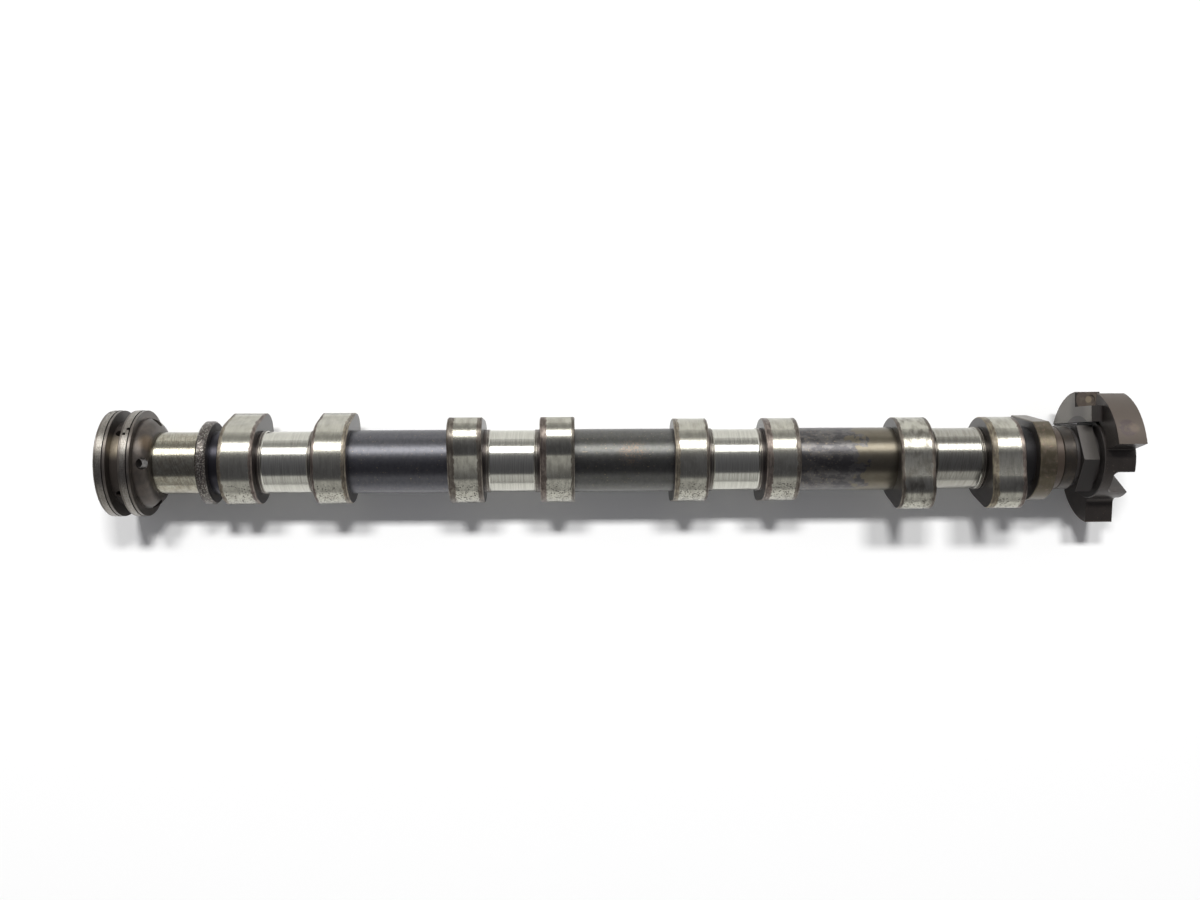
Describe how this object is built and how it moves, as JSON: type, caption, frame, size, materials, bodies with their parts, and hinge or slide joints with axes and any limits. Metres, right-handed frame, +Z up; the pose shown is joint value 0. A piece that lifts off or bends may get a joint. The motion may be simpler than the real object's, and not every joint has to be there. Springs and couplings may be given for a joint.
{
  "type": "camshaft",
  "caption": "Assembled engine camshaft: a tube with joined cams, a front flange with seal rings, and a rear end with a hexagon, pump slot and sensor teeth.",
  "frame": {"origin": "centre of the front flange's front face, on the shaft's axis", "axes": "+X along the shaft from the front flange to the rear drive end, +Z up from the bench that it lies on, +Y across"},
  "size_m": [0.383, 0.0505, 0.0464],
  "materials": {
    "raw_tube_steel": "black drawn tube, ground bright at the journals",
    "cam_steel": "ground and run in, with brown oil varnish along both edges",
    "collar_steel": "turned and darkened by oil",
    "flange_steel": "turned, stained brown-grey by oil",
    "seal_ring_iron": "fine-ground, grey",
    "varnished_steel": "olive-yellow oil varnish",
    "drive_end_iron": "as forged, dark brown-black satin"
  },
  "bodies": {
    "root": {"tube": "raw_tube_steel", "thrust_collar": "collar_steel", "front_flange": "flange_steel", "seal_ring_front": "seal_ring_iron", "seal_ring_rear": "seal_ring_iron", "timing_block": "varnished_steel", "drive_end": "drive_end_iron", "cam_1": "cam_steel", "cam_2": "cam_steel", "cam_3": "cam_steel", "cam_4": "cam_steel", "cam_5": "cam_steel", "cam_6": "cam_steel", "cam_7": "cam_steel", "cam_8": "cam_steel"}
  },
  "joints": []
}
